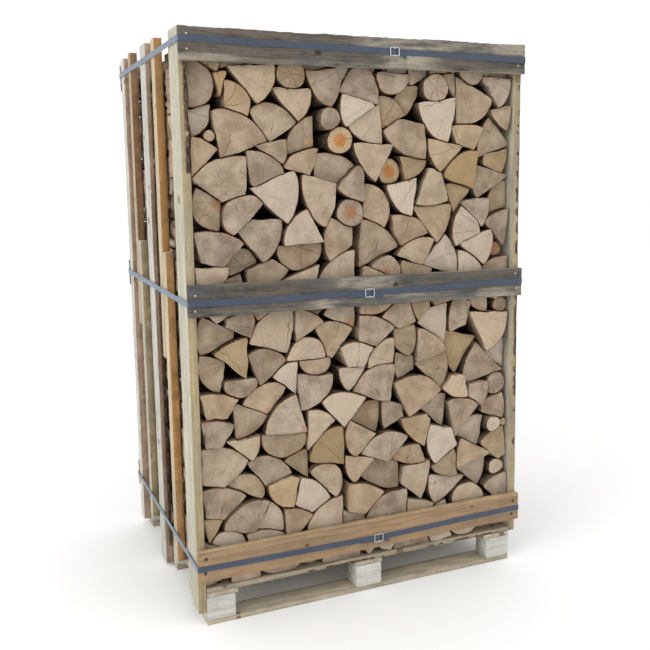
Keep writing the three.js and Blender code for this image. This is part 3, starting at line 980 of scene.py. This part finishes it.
def makePallet():
    for row in ("front", "middle", "back"):
        # the runners are painted lighter (value 1.5), a painted light that lifts the shade they stand in
        # under the deck
        sawnPiece(f"bottom_runner_{row}", "palletBoard", 0, (2, 1), 1.5, 0.0, ragged=1.5)
        for column in ("left", "middle", "right"):
            sawnPiece(f"block_{row}_{column}", "palletBlock", 0, (1, -1), 1.0, 0.0, pithOut=12)
    for column in ("left", "middle", "right"):
        # the stringers are painted lighter (value 1.4), a painted light that lifts the shade under the deck
        sawnPiece(f"stringer_{column}", "palletBoard", 1, (2, 1), 1.4, 0.0, ragged=1.0)
    for i in range(7):
        wane = [{"side": -1, "face": -1, "deep": 6, "level": 0.2}] if i in (0, 4) else []
        sawnPiece(f"deck_board_{i + 1}", "palletBoard", 0, (2, 1), 1.4, 0.05, wanes=wane, ragged=1.5)


battenPlans = {
    # finish, tone and how far it is weathered, with the edges left round by the tree
    "left_corner_post_front": dict(finish="paleBatten", foot=34, wanes=[
        {"side": -1, "face": -1, "deep": 13, "level": 0.65, "start": 0.76}]),
    "left_upper_batten_front": dict(finish="orangeBatten"),
    "left_lower_batten_front": dict(finish="orangeBatten", value=1.03),
    "left_middle_plank": dict(finish="greyBatten", value=1.04, grey=-0.1, wanes=[
        {"side": -1, "face": -1, "deep": 9, "level": 0.75}]),
    "left_upper_batten_back": dict(finish="brownBatten"),
    "left_lower_batten_back": dict(finish="paleBatten", value=0.97),
    "left_corner_post_back": dict(finish="greyBatten", value=1.12, grey=-0.12),
    "right_corner_post_front": dict(finish="paleBatten", value=0.95, grey=0.03, wanes=[
        {"side": -1, "face": 1, "deep": 7, "level": 0.1}]),
    "right_upper_batten_front": dict(finish="paleBatten", value=0.96),
    "right_lower_batten_front": dict(finish="orangeBatten"),
    "right_middle_plank": dict(finish="greyBatten", wanes=[
        {"side": 1, "face": 1, "deep": 11, "level": 0.35}]),
    "right_upper_batten_back": dict(finish="orangeBatten", value=0.98),
    "right_lower_batten_back": dict(finish="brownBatten"),
    "right_corner_post_back": dict(finish="paleBatten", value=0.94, grey=0.04),
}


def makeBattens():
    for node, plan in battenPlans.items():
        sawnPiece(node, along=2, out=(0, -1 if node.startswith("left") else 1), ragged=1.5, **plan)


boardPlans = {
    # pale: stretches along and across the board that the weather has left lighter
    "front_board_top": dict(finish="weatheredBoard", value=1.02, grey=-0.03, wanes=[
        {"side": 1, "face": 1, "deep": 6, "level": 0.3, "bark": False}],
        pale=[(0.42, 1.15, 0.05, 1.6), (-0.1, 0.2, -1.5, -0.35), (0.5, 0.75, -1.5, 0.2)]),
    "front_board_middle": dict(finish="weatheredBoard", value=0.98, grey=0.05, lean=0.5,
                               pale=[(0.28, 1.1, -1.6, -0.15), (0.36, 0.62, -1.6, 1.6)]),
    "front_board_bottom": dict(finish="freshBoard", wanes=[
        {"side": -1, "face": 1, "deep": 7, "level": 0.1, "start": 0.45, "bark": False}]),
    "back_board_top": dict(finish="weatheredBoard", value=1.05, lean=-0.3, pale=[(-0.1, 0.4, -0.6, 1.6)]),
    "back_board_middle": dict(finish="weatheredBoard", lean=-0.2, grey=0.05, pale=[(0.5, 1.1, -1.6, 0.1)]),
    "back_board_bottom": dict(finish="freshBoard", value=0.97, lean=0.2),
}


def makeBoards():
    for node, plan in boardPlans.items():
        sawnPiece(node, along=0, out=(1, -1 if node.startswith("front") else 1), ragged=1.2, **plan)


makePallet()
report("pallet")
makeBattens()
makeBoards()
report("battens and boards")


nailHead = {"radius": 3.6, "rustyRadius": 6.4, "proud": 0.6, "inset": 26.0, "heights": (0.28, 0.74),
            "deckShares": (0.3, 0.7)}


def nailSteel(name, plain, rusty, metallic):
    s = Surface(name, 0.5, 0.5)
    rust = s.grain(s.objectPlace(), 300, 3, 0.6)
    s.shader.inputs["Metallic"].default_value = metallic
    return s.coat(s.blend(s.ramp(rust, 0.4, 0.65), linear(*plain), linear(*rusty)), rust, 0.0005, 0.6)


def makeNails():
    rng = np.random.default_rng(8)
    bm = bmesh.new()

    def nail(place, axis, sign, dark):
        radius = nailHead["rustyRadius" if dark else "radius"] * mm
        made = bmesh.ops.create_cone(bm, cap_ends=True, segments=10, radius1=radius, radius2=radius * 0.72,
                                     depth=nailHead["proud"] * mm)["verts"]
        turn = Matrix.Identity(3) if axis == 2 else Matrix.Rotation(-math.pi / 2 * sign, 3, "X")
        shift = Vector(place)
        shift[axis] += sign * nailHead["proud"] / 2 * mm
        bmesh.ops.rotate(bm, verts=made, matrix=turn, cent=(0, 0, 0))
        bmesh.ops.translate(bm, verts=made, vec=shift)
        for face in {face for vert in made for face in vert.link_faces}:
            face.material_index = int(dark)

    for node, plan in boardPlans.items():
        low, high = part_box(node)
        front = node.startswith("front")
        y = low.y if front else high.y
        for x, side in ((low.x, 1), (high.x, -1)):
            for share in nailHead["heights"]:
                place = (x + side * (nailHead["inset"] + rng.uniform(-5, 6)) * mm, y,
                         low.z + (high.z - low.z) * (share + rng.uniform(-0.05, 0.05)))
                nail(place, 1, -1 if front else 1, plan["finish"] == "freshBoard")
    for row in range(7):
        low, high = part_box(f"deck_board_{row + 1}")
        for column in ("left", "middle", "right"):
            under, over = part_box(f"stringer_{column}")
            for share in nailHead["deckShares"]:
                x = (under.x + over.x) / 2 + rng.uniform(-20, 20) * mm
                nail((x, low.y + (high.y - low.y) * share, high.z), 2, 1, True)
    surfaces = [nailSteel("nailSteel", (198, 198, 194), (150, 138, 124), 0.85),
                nailSteel("rustyNail", (62, 60, 58), (84, 68, 58), 0.6)]
    finishPiece(bm, "nail_heads", [], surfaces)


makeNails()
report("nails")


strapPlans = {
    # sag at the buckle, doubled stretch, loose tail and its drop, and how far the strap has slipped up at the
    # front left, front right, back right and back left corners, mm
    "top": {"sag": 0.0, "doubled": 46, "tail": 34, "drop": 16, "slip": (10, -9, -3, 2)},
    "middle": {"sag": 3.0, "doubled": 58, "tail": 34, "drop": 20, "slip": (-5, -5, 2, 1)},
    "bottom": {"sag": 9.0, "doubled": 52, "tail": 30, "drop": 16, "slip": (0, 0, 2, 0)},
}
webbing = {"thick": 1.2, "bend": 6.0, "step": 14.0, "wireRadius": 1.7, "wireBend": 5.0}


def webbingSurface():
    s = Surface("webbing", 0.5, 0.7)
    web = s.attribute("webPlace", "Vector")
    run, rise = s.parts(web)[:2]
    rows = s.calc("SINE", s.times(rise, 2 * math.pi / 0.0016))
    across = s.calc("SINE", s.plus(s.times(run, 2 * math.pi / 0.0022), s.times(s.calc("SIGN", rows), 1.57)))
    weave = s.times(s.plus(s.calc("ABSOLUTE", rows), across), 0.5)
    faded = s.grain(s.objectPlace(), 7, 3)
    thread = s.stretched(web, (60, 1500, 1), 2)
    colour = s.blend(s.ramp(faded, 0.35, 0.65), linear(28, 42, 66), linear(38, 54, 80))
    # painted highlight: the raised threads of the weave are painted a lighter blue
    colour = s.blend(s.times(s.ramp(weave, -0.4, 0.8), 0.30), colour, linear(78, 94, 118))
    colour = s.blend(s.times(thread, 0.35), colour, linear(32, 42, 58))
    s.shader.inputs["Sheen Weight"].default_value = 0.9
    s.shader.inputs["Sheen Roughness"].default_value = 0.35
    s.shader.inputs["Sheen Tint"].default_value = (0.74, 0.88, 1.0, 1)
    return s.coat(colour, weave, 0.0004, 0.6)


def galvanizedWire():
    s = Surface("galvanizedWire", 0.38, 0.5)
    s.shader.inputs["Metallic"].default_value = 1.0
    spangle = s.grain(s.objectPlace(), 420, 3, 0.6)
    s.plug(s.shader.inputs["Base Color"], s.blend(spangle, linear(176, 180, 184), linear(222, 225, 228)))
    s.plug(s.shader.inputs["Roughness"], s.ramp(spangle, 0.3, 0.7, (0.28, 0.5)))
    return s.material


strapWeb, buckleWire = webbingSurface(), galvanizedWire()


def ribbon(bm, path, bottoms, wide, closed):
    # a band of webbing that follows a path of (x, y), with its lower edge at the given heights
    webLayer = layer(bm, "float_vector", "webPlace")
    verts = [bm.verts.new((x * mm, y * mm, z * mm)) for (x, y), z in zip(path, bottoms)]
    edges = [bm.edges.new((a, b)) for a, b in zip(verts, verts[1:])]
    if closed:
        edges.append(bm.edges.new((verts[-1], verts[0])))
    run = 0.0
    for i, vert in enumerate(verts):
        run += (vert.co - verts[i - 1].co).length if i else 0.0
        vert[webLayer] = (run, 0, 0)
    for part in range(4):
        grown = bmesh.ops.extrude_edge_only(bm, edges=edges)["geom"]
        fresh = [g for g in grown if isinstance(g, bmesh.types.BMVert)]
        bmesh.ops.translate(bm, verts=fresh, vec=(0, 0, wide * mm / 4))
        for vert in fresh:
            vert[webLayer] = (vert[webLayer][0], wide * mm * (part + 1) / 4, 0)
        edges = [g for g in grown if isinstance(g, bmesh.types.BMEdge) and all(v in fresh for v in g.verts)]


def between(a, b):
    # short steps along a straight, without its ends
    count = int(math.dist(a, b) / webbing["step"])
    return [(a[0] + (b[0] - a[0]) * k / count, a[1] + (b[1] - a[1]) * k / count) for k in range(1, count)]


def roundedPath(halfX, lowY, highY, bend):
    # once round the crate seen from above
    path = []
    for x, y, start in ((halfX, lowY, -90), (halfX, highY, 0), (-halfX, highY, 90), (-halfX, lowY, 180)):
        centre = (x - math.copysign(bend, x), y + (bend if y == lowY else -bend))
        arc = [math.radians(start + 90 * k / 5) for k in range(6)]
        corner = [(centre[0] + bend * math.cos(a), centre[1] + bend * math.sin(a)) for a in arc]
        path += (between(path[-1], corner[0]) if path else []) + corner
    return path + between(path[-1], path[0])


def wirePiece(name, node, paths, radius):
    curve = bpy.data.curves.new(name, "CURVE")
    curve.dimensions, curve.bevel_depth, curve.bevel_resolution = "3D", radius * mm, 3
    curve.use_fill_caps = True
    for points, closed in paths:
        spline = curve.splines.new("POLY")
        spline.points.add(len(points) - 1)
        for point, at in zip(spline.points, points):
            point.co = (*(value * mm for value in at), 1)
        spline.use_cyclic_u = closed
    holder = addObject(name, curve)
    drawn = bpy.data.meshes.new_from_object(holder.evaluated_get(bpy.context.evaluated_depsgraph_get()))
    bpy.data.objects.remove(holder)
    bm = bmesh.new()
    bm.from_mesh(drawn)
    bmesh.ops.remove_doubles(bm, verts=bm.verts, dist=1e-6)
    finishPiece(bm, name, [node], [buckleWire], 50)


def makeStrap(place):
    plan = strapPlans[place]
    low, high = (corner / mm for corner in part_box(f"strap_{place}"))
    buckleLow, buckleHigh = (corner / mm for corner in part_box(f"buckle_{place}"))
    buckleX = (buckleLow.x + buckleHigh.x) / 2
    wide, thick = high.z - low.z, webbing["thick"]
    halfX, lowY, highY = high.x - thick / 2, low.y + thick / 2, high.y - thick / 2

    def sagAt(x, y):
        frontLeft, frontRight, backRight, backLeft = plan["slip"]
        right, deep = (x + halfX) / (2 * halfX), np.clip((y - lowY) / (highY - lowY), 0, 1)
        slipped = ((frontLeft + (frontRight - frontLeft) * right) * (1 - deep)
                   + (backLeft + (backRight - backLeft) * right) * deep)
        if y > lowY + 20:
            return -slipped
        share = 1 - abs(x - buckleX) / (halfX - math.copysign(buckleX, x - buckleX))
        return plan["sag"] * max(share, 0) ** 1.3 - slipped

    bm = bmesh.new()
    path = roundedPath(halfX, lowY, highY, webbing["bend"])
    wavy = [low.z - sagAt(x, y) + 0.5 * math.sin(x * 0.011 + y * 0.007) for x, y in path]
    ribbon(bm, path, wavy, wide, True)
    start = buckleX - 14
    steps = [k / 8 for k in range(9)]
    doubled = [(start - plan["doubled"] * t, lowY - thick - 0.5 - 0.8 * math.sin(math.pi * t)) for t in steps]
    ribbon(bm, doubled, [low.z - sagAt(x, y) - 0.6 for x, y in doubled], wide, False)
    tail = [(buckleX + 10 + plan["tail"] * t, lowY - thick - 0.6 - 2.0 * t * t) for t in steps]
    drooping = [low.z - sagAt(x, y) - plan["drop"] * t ** 1.5 for (x, y), t in zip(tail, steps)]
    ribbon(bm, tail, drooping, wide * 0.9, False)
    under, over = lowY - thick - 0.6, buckleLow.y - 0.5
    # webbing folded round the buckle's bar
    folded = [(buckleX - 15 + 19 * t, under + (over - under) * math.sin(2.15 * t) ** 3) for t in steps]
    ribbon(bm, folded, [low.z - sagAt(x, y) + 0.5 for x, y in folded], wide - 1, False)
    bmesh.ops.recalc_face_normals(bm, faces=bm.faces)
    bmesh.ops.solidify(bm, geom=bm.faces[:], thickness=thick * mm)
    finishPiece(bm, f"strap_{place}_webbing", [f"strap_{place}"], [strapWeb], 60)

    # the buckle: a bent wire frame with a bar across its middle
    wire = webbing["wireRadius"]
    halfWide, halfHigh = (buckleHigh.x - buckleLow.x) / 2 - wire, (buckleHigh.z - buckleLow.z) / 2 - wire
    z = (buckleLow.z + buckleHigh.z) / 2 - sagAt(buckleX, lowY)
    y, bend = buckleLow.y + 1.0, webbing["wireBend"]
    frameWire = []
    for cornerX, cornerZ, first in ((1, -1, -90), (1, 1, 0), (-1, 1, 90), (-1, -1, 180)):
        for k in range(6):
            a = math.radians(first + 18 * k)
            across = cornerX * (halfWide - bend) + bend * math.cos(a)
            frameWire.append((buckleX + across, y - 0.9 * abs(across) / halfWide,
                              z + cornerZ * (halfHigh - bend) + bend * math.sin(a)))
    bar = [(buckleX, y - 0.4, z - halfHigh), (buckleX, y + 0.8, z - halfHigh / 2), (buckleX, y + 1.0, z),
           (buckleX, y + 0.8, z + halfHigh / 2), (buckleX, y - 0.4, z + halfHigh)]
    wirePiece(f"buckle_{place}_wire", f"buckle_{place}", [(frameWire, True), (bar, False)], wire)


for strapPlace in strapPlans:
    makeStrap(strapPlace)
report("straps and buckles")
